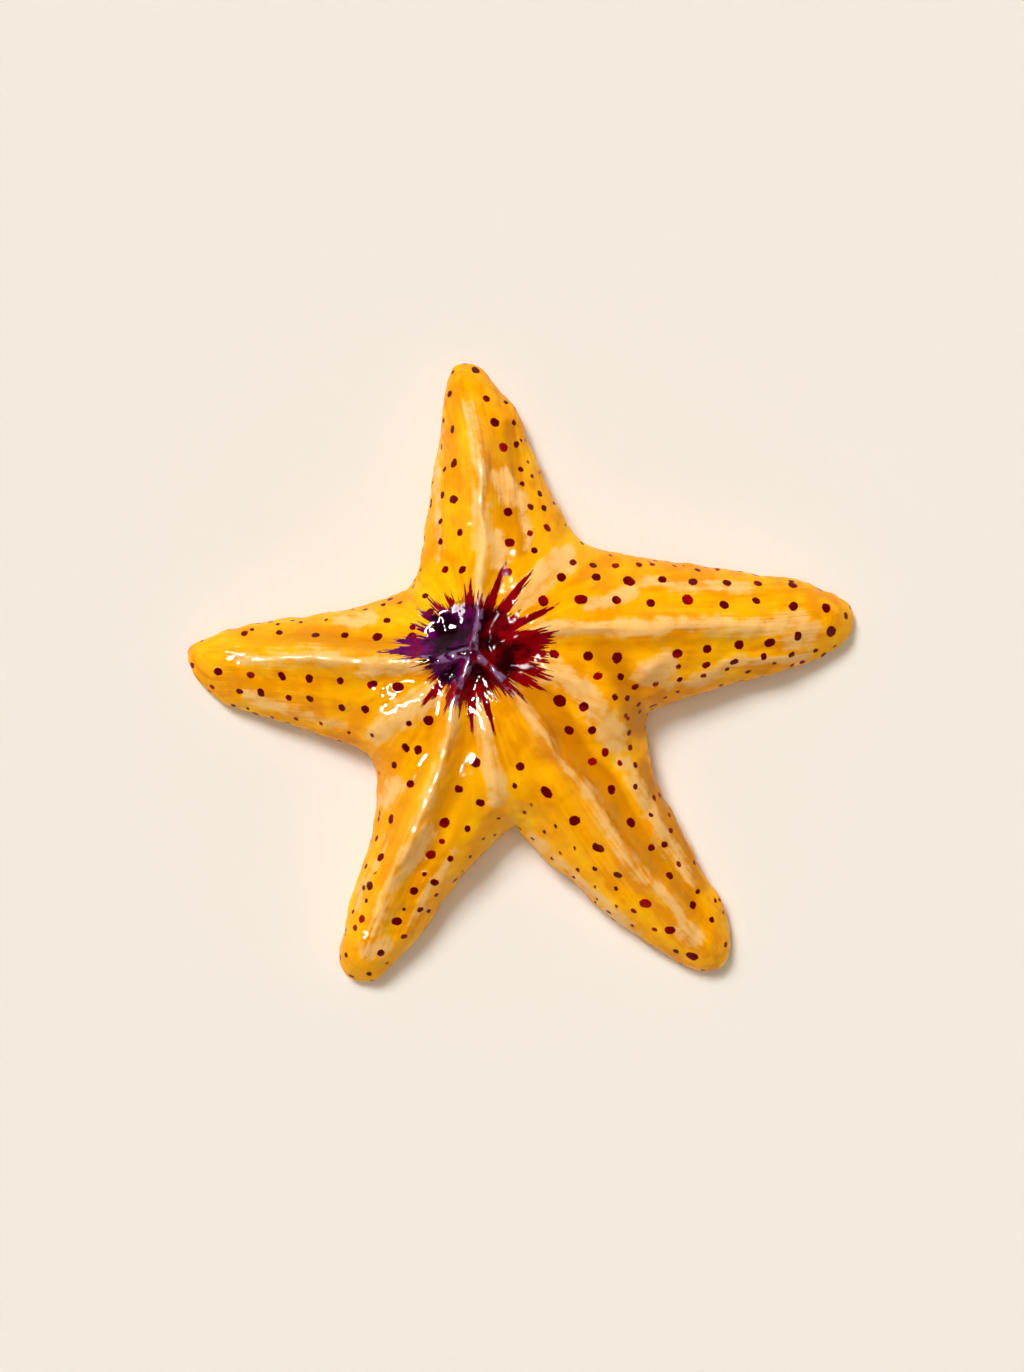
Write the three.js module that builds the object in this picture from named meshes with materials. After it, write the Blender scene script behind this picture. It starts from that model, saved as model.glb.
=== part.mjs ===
import * as THREE from 'three';

// A dried starfish, lying on its mouth side. Millimetres, +Z up.
// Plan positions are measured from the point where the ridges on its back meet. At the end the
// star is moved, so that its origin lies on the surface it rests on, under the middle of its box.

// Heights
const discHeight = 26; // skin over the middle of the disc, without the ridges
const tipHeight = 11; // crest of an arm where its ridge ends, just short of the tip
const rimShare = 0.28; // height of the widest line, as a share of the crest beside it

// Shape of an arm's flank between crest and rim: 1 - across^flankPower, then the edgePower-th root
const flankPower = 1.4;
const edgePower = 1.75;
const discEnd = 0.5; // share of an arm over which the disc's dome fades into the arm's own crest

// The ridge along each arm's back
const ridgeHeight = 2.4;
const ridgeWidth = 2.6; // where it has dropped to about a third of its height, each side

// Underside
const undercut = 4.5; // how far the flat underside lies inside the widest line
const grooveWidth = 2.6; // half the width of the groove along the middle of each arm
const grooveDepth = 2.5;
const mouthDepth = 6; // where the five grooves meet
const mouthRadius = 5;

// The five arms, counterclockwise. A corner is a point of the outline, at a tip or in the notch
// that follows it. Its course is the way the outline runs on reaching it and on leaving it, in
// degrees from +X, and its reach is how far it keeps that course before and after, as the handles
// of a Bezier curve. The ridge runs from the centre to its end near the tip, as a Bezier curve
// with the two pulls between.
const arms = [
  {
    name: 'right',
    tip: { at: [102.5, 11.5], course: [111, 111], reach: [20, 11] },
    notch: { at: [34, 26.5], course: [165, 165], reach: [11, 16.5] },
    ridge: { pulls: [[28, 9], [64, 4]], end: [93.5, 8.5] },
  },
  {
    name: 'top',
    tip: { at: [-4, 77.5], course: [191, 191], reach: [18, 6.5] },
    notch: { at: [-17.5, 16.5], course: [223, 223], reach: [10.5, 12] },
    ridge: { pulls: [[4.5, 24], [4, 48]], end: [-2, 69] },
  },
  {
    name: 'left',
    tip: { at: [-77.5, -1], course: [267, 267], reach: [9.5, 17] },
    notch: { at: [-29, -28], course: [318, 318], reach: [11, 19] },
    ridge: { pulls: [[-20, -6], [-45, -1.5]], end: [-68.5, -1] },
  },
  {
    name: 'low left',
    tip: { at: [-29.5, -90], course: [358, 358], reach: [20.5, 11] },
    notch: { at: [11.5, -47.5], course: [35, -49], reach: [22.5, 10.5] },
    ridge: { pulls: [[-4.5, -26], [-18, -52]], end: [-29, -81] },
  },
  {
    name: 'low right',
    tip: { at: [67, -86], course: [41, 41], reach: [12.5, 18.5] },
    notch: { at: [47.5, -17], course: [72, 42], reach: [23, 12] },
    ridge: { pulls: [[22, -20], [38, -56]], end: [62, -79] },
  },
];

// Raised folds of skin on the disc, between the ridges
const folds = [
  { from: [2, -13], to: [6, -40], height: 1.8, width: 2.8 },
  { from: [-8, -10], to: [-24, -21], height: 1.6, width: 3.5 },
  { from: [18, -4], to: [39, -25], height: 1.6, width: 3 },
  { from: [14, 13], to: [25, 25], height: 1.2, width: 3.5 },
];

// A knob on the right arm's flank
const knob = { at: [47.5, -5.5], height: 1.8, width: 3.6 };

// Fineness of the faceted solid
const ribsPerSide = 18; // ribs between a notch and the tip beside it
const topSteps = [0, 0.06, 0.14, 0.25, 0.38, 0.52, 0.66, 0.78, 0.88, 0.95, 0.985]; // crest to rim
const turnSteps = [Math.PI / 6, Math.PI / 3, Math.PI / 2]; // round the edge below the rim
const ridgeSamples = 24;

const skinColour = 0xe9a21c;

const vector = ([x, y]) => new THREE.Vector2(x, y);
const centre = new THREE.Vector2(0, 0);

function handle(corner, degrees, distance) {
  const course = THREE.MathUtils.degToRad(degrees);
  const step = new THREE.Vector2(Math.cos(course), Math.sin(course));
  return vector(corner.at).addScaledVector(step, distance);
}

function outlineCurve(from, to) {
  return new THREE.CubicBezierCurve(
    vector(from.at),
    handle(from, from.course[1], from.reach[1]),
    handle(to, to.course[0], -to.reach[0]),
    vector(to.at),
  );
}

function ridgeCurve({ pulls, end }) {
  return new THREE.CubicBezierCurve(centre, vector(pulls[0]), vector(pulls[1]), vector(end));
}

const ridges = arms.map((arm) => ridgeCurve(arm.ridge));

const crestHeight = (along) => tipHeight + (discHeight - tipHeight) * (1 - along ** 2);

// A rib is a line in plan from a point of the ridge out to the rim. Ribs start at the notch
// before the right arm and go counterclockwise: notch to tip, tip to notch, for each arm.
function makeRib(armIndex, pastTip, step) {
  const arm = arms[armIndex];
  const notchBefore = arms.at(armIndex - 1).notch;
  const outward = step / ribsPerSide;
  const edge = pastTip
    ? outlineCurve(arm.tip, arm.notch).getPoint(1 - outward)
    : outlineCurve(notchBefore, arm.tip).getPoint(outward);
  const along = 1 - (1 - outward) ** 1.75;
  const foot = ridges[armIndex].getPoint(along);
  const span = edge.clone().sub(foot);
  const length = span.length();
  const ridgeCourse = ridges[armIndex].getTangent(along);
  const slant = Math.abs(span.cross(ridgeCourse)) / length;
  const discShare = Math.max(0, 1 - (outward / discEnd) ** 2) ** 2;
  const crest = crestHeight(along);
  const flatEdge = 1 - Math.min(0.5, undercut / length);
  const grooveEdge = Math.min(0.4 * flatEdge, grooveWidth / (length * Math.max(slant, 0.05)));
  return { foot, edge, along, discShare, crest, rim: rimShare * crest, flatEdge, grooveEdge };
}

const ribs = [];
for (let armIndex = 0; armIndex < arms.length; armIndex += 1) {
  for (let step = 0; step < ribsPerSide; step += 1) ribs.push(makeRib(armIndex, false, step));
  for (let step = ribsPerSide; step > 0; step -= 1) ribs.push(makeRib(armIndex, true, step));
}
const rimPoints = ribs.map((rib) => rib.edge);

// Distance to the rim, averaged over every direction: twice the inverse of the mean of
// 1 / distance. It falls to zero at the rim, and is smooth everywhere inside it.
function smoothRimDistance(point) {
  let sum = 0;
  for (let index = 0; index < rimPoints.length; index += 1) {
    const a = rimPoints[index].clone().sub(point);
    const b = rimPoints[(index + 1) % rimPoints.length].clone().sub(point);
    const tangentOfHalfAngle = a.cross(b) / (a.length() * b.length() + a.dot(b));
    sum += (1 / a.length() + 1 / b.length()) * tangentOfHalfAngle;
  }
  return 2 / sum;
}

const notchSum = arms.reduce((sum, arm) => sum.add(vector(arm.notch.at)), new THREE.Vector2());
const discMiddle = notchSum.divideScalar(arms.length);
const deepestRimDistance = smoothRimDistance(discMiddle);

const bell = (distance, width) => Math.exp(-((distance / width) ** 2));

function distanceToSegment(point, from, to) {
  const way = to.clone().sub(from);
  const share = THREE.MathUtils.clamp(point.clone().sub(from).dot(way) / way.lengthSq(), 0, 1);
  return point.distanceTo(from.clone().addScaledVector(way, share));
}

const ridgePoints = ridges.map((ridge) => ridge.getPoints(ridgeSamples));

// Height of one arm's ridge at a point, fading out at the ridge's end
function ridgeRelief(point, samples) {
  let relief = 0;
  for (let index = 0; index < ridgeSamples; index += 1) {
    const distance = distanceToSegment(point, samples[index], samples[index + 1]);
    const fade = 1 - (index / ridgeSamples) ** 4;
    relief = Math.max(relief, fade * bell(distance, ridgeWidth));
  }
  return ridgeHeight * relief;
}

function relief(point) {
  const ridgeSum = ridgePoints.reduce((sum, samples) => sum + ridgeRelief(point, samples) ** 4, 0);
  let height = ridgeSum ** 0.25;
  for (const fold of folds) {
    const distance = distanceToSegment(point, vector(fold.from), vector(fold.to));
    height += fold.height * bell(distance, fold.width);
  }
  return height + knob.height * bell(point.distanceTo(vector(knob.at)), knob.width);
}

const planPoint = (rib, across) => rib.foot.clone().lerp(rib.edge, across);

// The back: a dome over the disc, fading into a roof-like crest along each arm
function backVertex(rib, across) {
  const point = planPoint(rib, across);
  const dome = (smoothRimDistance(point) / deepestRimDistance) ** (1 / edgePower);
  const roof = (1 - across ** flankPower) ** (1 / edgePower);
  const rise = rib.discShare * (discHeight - rib.rim) * dome
    + (1 - rib.discShare) * (rib.crest - rib.rim) * roof;
  return [point.x, point.y, rib.rim + rise + relief(point) * (1 - across ** 6)];
}

// The edge below the rim: a quarter of an ellipse, from upright down to the flat underside
function edgeVertex(rib, turn) {
  const across = rib.flatEdge + (1 - rib.flatEdge) * Math.cos(turn);
  const point = planPoint(rib, across);
  return [point.x, point.y, rib.rim * Math.max(0, 1 - Math.sin(turn))];
}

// The flat underside, and the groove that runs under the ridge: share 1 is the groove's edge
function grooveVertex(rib, share) {
  const point = planPoint(rib, rib.grooveEdge * share);
  const fade = 1 - rib.along ** 6;
  const deep = fade * grooveDepth + (mouthDepth - grooveDepth) * bell(rib.foot.length(), mouthRadius);
  return [point.x, point.y, deep * (1 - share ** 2)];
}

function flatVertex(rib, across) {
  const point = planPoint(rib, across);
  return [point.x, point.y, 0];
}

// One rib's section, from the crest over the rim and under to the middle of the groove
function ribSection(rib) {
  return [
    ...topSteps.map((across) => backVertex(rib, across)),
    [rib.edge.x, rib.edge.y, rib.rim],
    ...turnSteps.map((turn) => edgeVertex(rib, turn)),
    flatVertex(rib, (rib.flatEdge + rib.grooveEdge) / 2),
    grooveVertex(rib, 1),
    grooveVertex(rib, 0.5),
    grooveVertex(rib, 0),
  ];
}

const rows = topSteps.length + turnSteps.length + 5;
const ribsPerArm = 2 * ribsPerSide;

// Ribs on both sides of an arm share their points on the ridge, and all arms share the centre
function ribOfVertex(ribIndex, row) {
  const rib = ribIndex % ribs.length;
  if (row > 0 && row < rows - 1) return rib;
  const withinArm = rib % ribsPerArm;
  return withinArm === 0 ? 0 : rib - withinArm + Math.min(withinArm, ribsPerArm - withinArm);
}

function starfishGeometry() {
  const positions = ribs.flatMap(ribSection).flat();
  const vertexAt = (ribIndex, row) => ribOfVertex(ribIndex, row) * rows + row;
  const faces = [];
  for (let rib = 0; rib < ribs.length; rib += 1) {
    for (let row = 0; row < rows - 1; row += 1) {
      const [a, b] = [vertexAt(rib, row), vertexAt(rib, row + 1)];
      const [c, d] = [vertexAt(rib + 1, row + 1), vertexAt(rib + 1, row)];
      faces.push(a, b, c, a, c, d);
    }
  }
  const geometry = new THREE.BufferGeometry();
  geometry.setAttribute('position', new THREE.Float32BufferAttribute(positions, 3));
  geometry.setIndex(faces);
  geometry.computeBoundingBox();
  const box = geometry.boundingBox;
  const middle = box.getCenter(new THREE.Vector3());
  geometry.translate(-middle.x, -middle.y, -box.min.z);
  geometry.computeVertexNormals();
  return geometry;
}

const skin = new THREE.MeshStandardMaterial({ color: skinColour, roughness: 0.3, metalness: 0 });
const starfish = new THREE.Mesh(starfishGeometry(), skin);
starfish.name = 'starfish';

const model = new THREE.Group();
model.add(starfish);

export default model;
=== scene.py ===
import math

import bpy
import numpy as np
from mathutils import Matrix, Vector


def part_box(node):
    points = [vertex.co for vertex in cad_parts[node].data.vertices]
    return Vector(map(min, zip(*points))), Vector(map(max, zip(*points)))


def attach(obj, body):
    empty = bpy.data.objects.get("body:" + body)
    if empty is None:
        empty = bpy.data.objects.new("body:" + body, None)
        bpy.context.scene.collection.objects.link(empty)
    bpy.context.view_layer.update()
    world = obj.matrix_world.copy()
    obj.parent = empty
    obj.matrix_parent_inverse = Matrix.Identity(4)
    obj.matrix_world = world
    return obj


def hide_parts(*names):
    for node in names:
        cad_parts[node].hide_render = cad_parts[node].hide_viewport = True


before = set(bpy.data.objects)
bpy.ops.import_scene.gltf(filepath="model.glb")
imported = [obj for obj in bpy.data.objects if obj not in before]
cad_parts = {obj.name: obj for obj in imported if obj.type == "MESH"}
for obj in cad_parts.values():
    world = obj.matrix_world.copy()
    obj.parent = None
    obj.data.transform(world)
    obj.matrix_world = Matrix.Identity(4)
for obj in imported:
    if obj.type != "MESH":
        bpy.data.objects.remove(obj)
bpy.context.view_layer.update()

mm = 0.001
farAway = 9.0  # mm: outside every mark

# The starfish. Millimetres, in plan from the point where its ridges meet, counterclockwise from
# the right arm. A corner's course is the way the outline runs on reaching and on leaving it, in
# degrees, and its reach how far it keeps that course. A ridge runs from the centre by two pulls
# to its end; spread is how far its sides slope out and dip how deep the skin sinks beside it,
# each for the left and the right of someone walking out along it.
starfish = {
    "discHeight": 26.0,
    "tipHeight": 11.0,
    "rimShare": 0.28,
    "flankPower": 1.4,
    "edgePower": 1.75,
    "discEnd": 0.5,
    "undercut": 4.5,
    "grooveWidth": 2.6,
    "grooveDepth": 2.5,
    "mouthDepth": 6.0,
    "mouthRadius": 5.0,
    "ribsPerSide": 120,
    "backRows": 64,
    "edgeRows": 7,
    "flatRows": 3,
    "grooveRows": 6,
    # how the ribs crowd towards the tips and the rows towards the rim, and how late relief fades
    "footPower": 1.75,
    "rowEase": 0.45,
    "rowPower": 1.25,
    "fadePower": 6,
    # a ridge's narrow top: its width and its share of the height
    "crestWidth": 1.8,
    "crestShare": 0.3,
    # how much narrower a ridge starts at the centre, and over what share of its length
    "pinch": 0.35,
    "pinchLength": 0.12,
    # how far from the ridge the dip beside it lies, and how wide it is
    "dipAway": 5.5,
    "dipWidth": 2.8,
    # an arm's dip also sets how much ochre painted shade lies beside its ridge
    "arms": [
        {"tip": {"at": (102.5, 11.5), "course": (111, 111), "reach": (20, 11)},
         "notch": {"at": (34, 26.5), "course": (165, 165), "reach": (11, 16.5)},
         "ridge": [(0, 0), (28, 9), (64, 4), (93.5, 8.5)],
         "ridgeHeight": 1.8, "spread": (4.0, 3.2), "dip": (0.3, 0.5)},
        {"tip": {"at": (-4, 77.5), "course": (191, 191), "reach": (18, 6.5)},
         "notch": {"at": (-17.5, 16.5), "course": (223, 223), "reach": (10.5, 12)},
         "ridge": [(0, 0), (4.5, 24), (4, 48), (-2, 69)],
         "ridgeHeight": 2.7, "spread": (3.2, 2.3), "dip": (0.4, 0.7)},
        {"tip": {"at": (-77.5, -1), "course": (267, 267), "reach": (9.5, 17)},
         "notch": {"at": (-29, -28), "course": (318, 318), "reach": (11, 19)},
         "ridge": [(0, 0), (-20, -6), (-45, -1.5), (-68.5, -1)],
         "ridgeHeight": 2.4, "spread": (3.2, 2.6), "dip": (0.5, 0.9)},
        {"tip": {"at": (-29.5, -90), "course": (358, 358), "reach": (20.5, 11)},
         "notch": {"at": (11.5, -47.5), "course": (35, -49), "reach": (22.5, 10.5)},
         "ridge": [(0, 0), (-4.5, -26), (-18, -52), (-29, -81)],
         "ridgeHeight": 2.7, "spread": (2.4, 3.0), "dip": (0.8, 0.6)},
        {"tip": {"at": (67, -86), "course": (41, 41), "reach": (12.5, 18.5)},
         "notch": {"at": (47.5, -17), "course": (72, 42), "reach": (23, 12)},
         "ridge": [(0, 0), (22, -20), (38, -56), (62, -79)],
         "ridgeHeight": 3.4, "spread": (1.6, 4.2), "dip": (1.9, 0.2)},
    ],
    # folds of skin (height above it) and creases (below it) along a line
    "folds": [
        {"path": [(2, -13), (4.5, -27), (6, -40)], "height": 2.0, "width": 2.4},
        {"path": [(-8, -10), (-15, -15), (-24, -21)], "height": 1.5, "width": 3.4},
        {"path": [(17, -4), (28, -10), (34, -17), (39, -26)], "height": 1.7, "width": 2.8},
        {"path": [(13, 12), (19, 19), (25, 25)], "height": 1.0, "width": 3.4},
        {"path": [(12.5, 26), (12, 44), (10, 60)], "height": -0.5, "width": 1.0},
        {"path": [(52, -9), (68, -5), (84, -1)], "height": 0.6, "width": 1.4},
        {"path": [(46, -33), (53, -47), (61, -62)], "height": -0.6, "width": 1.6},
        {"path": [(37, -4), (41.5, -11), (44, -20)], "height": -1.5, "width": 2.2},
    ],
    # knobs that stand up from the skin, and pits
    "knobs": [
        {"at": (48, -5.0), "height": 3.4, "width": 3.4},
        {"at": (-7, 4.5), "height": -1.6, "width": 3.4},
        {"at": (4.6, 1.6), "height": -2.8, "width": 2.4},
        {"at": (9.5, -4.4), "height": -2.2, "width": 2.4},
        {"at": (5, 7), "height": -1.2, "width": 2.6},
        {"at": (-4.6, -5.4), "height": -1.2, "width": 1.6},
        {"at": (2.6, -6.8), "height": -1.7, "width": 1.7},
    ],
    # unevenness of the dried skin: wavelength and height of each size of lump, and how high above
    # the floor it is at its full height
    "lumps": [(17.0, 0.30), (6.0, 0.11), (2.6, 0.05)],
    "lumpsFrom": 2.5,
    # how far ridges, folds and bands of paint stray from their lines, and over what length
    "stray": 0.55,
    "strayLength": 20.0,
    "seed": 11,
}


def bezier(points, t):
    # (1-t)^3 a + 3 (1-t)^2 t b + 3 (1-t) t^2 c + t^3 d, for a whole array of t
    a, b, c, d = (np.asarray(p, float) for p in points)
    t = np.asarray(t, float)[..., None]
    return (1 - t) ** 3 * a + 3 * (1 - t) ** 2 * t * b + 3 * (1 - t) * t ** 2 * c + t ** 3 * d


def ridgeLine(arm, start, end, steps):
    # points along an arm's ridge from one share of its length to another
    return bezier(arm["ridge"], np.linspace(start, end, steps))


def outlineHandles(start, end):
    # the Bezier points between two corners: each handle lies along the corner's course
    def along(corner, degrees, distance):
        turn = math.radians(degrees)
        return np.array(corner["at"]) + distance * np.array([math.cos(turn), math.sin(turn)])
    return [start["at"], along(start, start["course"][1], start["reach"][1]),
            along(end, end["course"][0], -end["reach"][0]), end["at"]]


def nearestOnPath(points, path):
    # for each point, over all the path's straight pieces: the least distance to it, the share of
    # the path's length passed there, and the side (+1 left of the path's course, -1 right)
    path = np.asarray(path, float)
    lengths = np.hypot(*np.diff(path, axis=0).T)
    passed = np.concatenate([[0], np.cumsum(lengths)])
    distance = np.full(len(points), np.inf)
    share = np.zeros(len(points))
    side = np.ones(len(points))
    for index, length in enumerate(lengths):
        way = (path[index + 1] - path[index]) / length
        offset = points - path[index]
        along = np.clip(offset @ way, 0, length)
        away = offset - along[:, None] * way
        here = np.hypot(away[:, 0], away[:, 1])
        closer = here < distance
        distance[closer] = here[closer]
        share[closer] = ((passed[index] + along) / passed[-1])[closer]
        side[closer] = np.sign(way[0] * away[:, 1] - way[1] * away[:, 0])[closer]
    return distance, share, side


def smoothRimDistance(points, rim):
    # 2 over the integral of 1 / distance to the rim over all directions. A piece of the rim adds
    # 1 / distance of both its ends times the tangent of half the angle it is seen under
    result = np.zeros(len(points))
    for start in range(0, len(points), 2000):
        block = points[start:start + 2000]
        arm = rim[None, :, :] - block[:, None, :]
        length = np.hypot(arm[..., 0], arm[..., 1]) + 1e-9
        after = np.roll(arm, -1, axis=1)
        afterLength = np.roll(length, -1, axis=1)
        cross = arm[..., 0] * after[..., 1] - arm[..., 1] * after[..., 0]
        dot = (arm * after).sum(-1)
        halfTangent = cross / (length * afterLength + dot + 1e-9)
        result[start:start + 2000] = 2 / ((1 / length + 1 / afterLength) * halfTangent).sum(1)
    return np.maximum(result, 0)


def lumps(points, wavelength, seed):
    # sum of many plane sine waves in random directions, lengths close to the wavelength, scaled so
    # that its spread stays the same however many there are
    dice = np.random.default_rng(seed)
    total = np.zeros(len(points))
    waves = 40
    for _ in range(waves):
        way = dice.normal(size=3)
        way *= 2 * math.pi / (wavelength * dice.uniform(0.75, 1.35)) / np.linalg.norm(way)
        total += np.sin(points @ way + dice.uniform(0, 2 * math.pi))
    return total * math.sqrt(2 / waves)


def bell(distance, width):
    # e to the minus (distance / width) squared
    return np.exp(-(distance / width) ** 2)


def endFade(share, power):
    # a power of the sine of the way along: 1 halfway along a line and 0 at both its ends
    return np.sin(math.pi * np.clip(share, 0, 1)) ** power


def strayed(plan, star):
    # each place in plan moved by two waves of its own, so that what is drawn there wavers
    flat = np.column_stack([plan, np.zeros(len(plan))])
    moves = [lumps(flat, star["strayLength"], star["seed"] + extra) for extra in (50, 51)]
    return plan + star["stray"] * np.column_stack(moves)


def layRibs(star):
    # a rib is a line in plan from a point of a ridge out to the rim: notch to tip to notch,
    # arm by arm. Its foot runs out along the ridge as 1 - (1 - outward)^footPower
    perSide = star["ribsPerSide"]
    rising, falling = np.arange(perSide) / perSide, np.arange(perSide, 0, -1) / perSide
    parts = {"foot": [], "edge": [], "outward": [], "along": [], "arm": [], "slant": []}
    for index, arm in enumerate(star["arms"]):
        notchBefore = star["arms"][index - 1]["notch"]
        edge = np.concatenate([bezier(outlineHandles(notchBefore, arm["tip"]), rising),
                               bezier(outlineHandles(arm["tip"], arm["notch"]), 1 - falling)])
        outward = np.concatenate([rising, falling])
        along = 1 - (1 - outward) ** star["footPower"]
        foot = bezier(arm["ridge"], along)
        course = bezier(arm["ridge"], along + 1e-4) - bezier(arm["ridge"], along - 1e-4)
        span = edge - foot
        slant = np.abs(course[:, 0] * span[:, 1] - course[:, 1] * span[:, 0])
        slant /= np.hypot(*course.T) * np.hypot(*span.T)
        for key, value in (("foot", foot), ("edge", edge), ("outward", outward),
                           ("along", along), ("arm", np.full(2 * perSide, index)), ("slant", slant)):
            parts[key].append(value)
    ribs = {key: np.concatenate(value) for key, value in parts.items()}
    ribs["length"] = np.hypot(*(ribs["edge"] - ribs["foot"]).T)
    crest = star["tipHeight"] + (star["discHeight"] - star["tipHeight"]) * (1 - ribs["along"] ** 2)
    ribs["crest"] = crest
    ribs["rim"] = star["rimShare"] * crest
    ribs["discShare"] = np.maximum(0, 1 - (ribs["outward"] / star["discEnd"]) ** 2) ** 2
    ribs["flatEdge"] = 1 - np.minimum(0.5, star["undercut"] / ribs["length"])
    ribs["grooveEdge"] = np.minimum(0.4 * ribs["flatEdge"], star["grooveWidth"]
                                    / (ribs["length"] * np.maximum(ribs["slant"], 0.05)))
    return ribs


def reliefHeight(plan, star):
    # fourth-power sum of the ridges' bells, less the dips beside them, plus the bells of folds,
    # creases, knobs and pits
    plan = strayed(plan, star)
    total, dips = np.zeros(len(plan)), np.zeros(len(plan))
    for arm in star["arms"]:
        distance, share, side = nearestOnPath(plan, ridgeLine(arm, 0, 1, 60))
        spread = np.where(side > 0, *arm["spread"])
        start = 1 - star["pinch"] * bell(share, star["pinchLength"])
        broad = bell(distance, spread * start)
        sharp = bell(distance, star["crestWidth"])
        profile = (1 - star["crestShare"]) * broad + star["crestShare"] * sharp
        height = arm["ridgeHeight"] * profile * (1 - share ** 4)
        total += height ** 4
        deep = np.where(side > 0, *arm["dip"]) * bell(distance - star["dipAway"], star["dipWidth"])
        dips += deep * endFade(share, 0.7)
    total = total ** 0.25 - dips
    for fold in star["folds"]:
        distance, share, _ = nearestOnPath(plan, fold["path"])
        fade = np.maximum(endFade(share, 0.5), 0.35)
        total += fold["height"] * bell(distance, fold["width"]) * fade
    for knob in star["knobs"]:
        away = np.hypot(*(plan - np.array(knob["at"])).T)
        total += knob["height"] * bell(away, knob["width"])
    return total


def shapeStarfish(star):
    # the whole skin as a grid of ribs by rows. On the back a row is a share of the way from
    # ridge to rim; below the rim it is a quarter ellipse turning under; then flat; then groove
    ribs = layRibs(star)
    count = len(ribs["along"])
    step = np.arange(star["backRows"]) / star["backRows"]
    ease = star["rowEase"]
    across = (1 - ease) * step + ease * (1 - np.cos(math.pi * step)) / 2
    across = 1 - (1 - across) ** star["rowPower"]
    column = {key: value[:, None] for key, value in ribs.items() if value.ndim == 1}
    foot, edge = ribs["foot"][:, None, :], ribs["edge"][:, None, :]

    backPlan = foot + (edge - foot) * across[None, :, None]
    flat = backPlan.reshape(-1, 2)
    middle = np.mean([arm["notch"]["at"] for arm in star["arms"]], axis=0)
    deepest = smoothRimDistance(middle[None, :], ribs["edge"])[0]
    onDisc = np.repeat(ribs["discShare"] > 0, len(across))
    dome = np.zeros(len(flat))
    dome[onDisc] = smoothRimDistance(flat[onDisc], ribs["edge"]) / deepest
    dome = (dome ** (1 / star["edgePower"])).reshape(count, -1)
    roof = (1 - across[None, :] ** star["flankPower"]) ** (1 / star["edgePower"])
    backHeight = column["rim"] + column["discShare"] * (star["discHeight"] - column["rim"]) * dome
    backHeight = backHeight + (1 - column["discShare"]) * (column["crest"] - column["rim"]) * roof
    relief = reliefHeight(flat, star).reshape(count, -1)
    backHeight = backHeight + relief * (1 - across[None, :] ** star["fadePower"])
    back = np.dstack([backPlan, backHeight])

    turn = (np.arange(star["edgeRows"] + 1) / star["edgeRows"]) * math.pi / 2
    turnAcross = column["flatEdge"] + (1 - column["flatEdge"]) * np.cos(turn)[None, :]
    edgeHeight = column["rim"] * (1 - np.sin(turn))[None, :]

    flatShare = (np.arange(star["flatRows"]) + 1) / (star["flatRows"] + 1)
    flatAcross = column["flatEdge"] + (column["grooveEdge"] - column["flatEdge"]) * flatShare
    grooveShare = 1 - np.arange(star["grooveRows"] + 1) / star["grooveRows"]
    grooveAcross = column["grooveEdge"] * grooveShare[None, :]
    deep = star["grooveDepth"] * (1 - column["along"] ** star["fadePower"])
    reachOfMouth = np.hypot(*ribs["foot"].T)[:, None]
    deep = deep + (star["mouthDepth"] - star["grooveDepth"]) * bell(reachOfMouth, star["mouthRadius"])
    grooveHeight = deep * (1 - grooveShare[None, :] ** 2)

    lowAcross = np.hstack([turnAcross, flatAcross, grooveAcross])
    lowHeight = np.hstack([edgeHeight, np.zeros_like(flatAcross), grooveHeight])
    low = np.dstack([foot + (edge - foot) * lowAcross[..., None], lowHeight])

    grid = np.concatenate([back, low], axis=1)
    isBack = np.zeros(grid.shape[:2])
    isBack[:, :len(across)] = 1
    return ribs, grid, isBack


def gridNormals(grid, twin):
    # cross product of the differences along and across the grid; twin gives each rib's partner
    # over the ridge, so that the first and last row look across it
    ahead, behind = np.roll(grid, -1, axis=0), np.roll(grid, 1, axis=0)
    aroundStep = ahead - behind
    padded = np.concatenate([grid[twin, 1:2], grid, grid[twin, -2:-1]], axis=1)
    downStep = padded[:, 2:] - padded[:, :-2]
    normal = np.cross(downStep, aroundStep)
    return normal / (np.linalg.norm(normal, axis=2, keepdims=True) + 1e-12)


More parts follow.
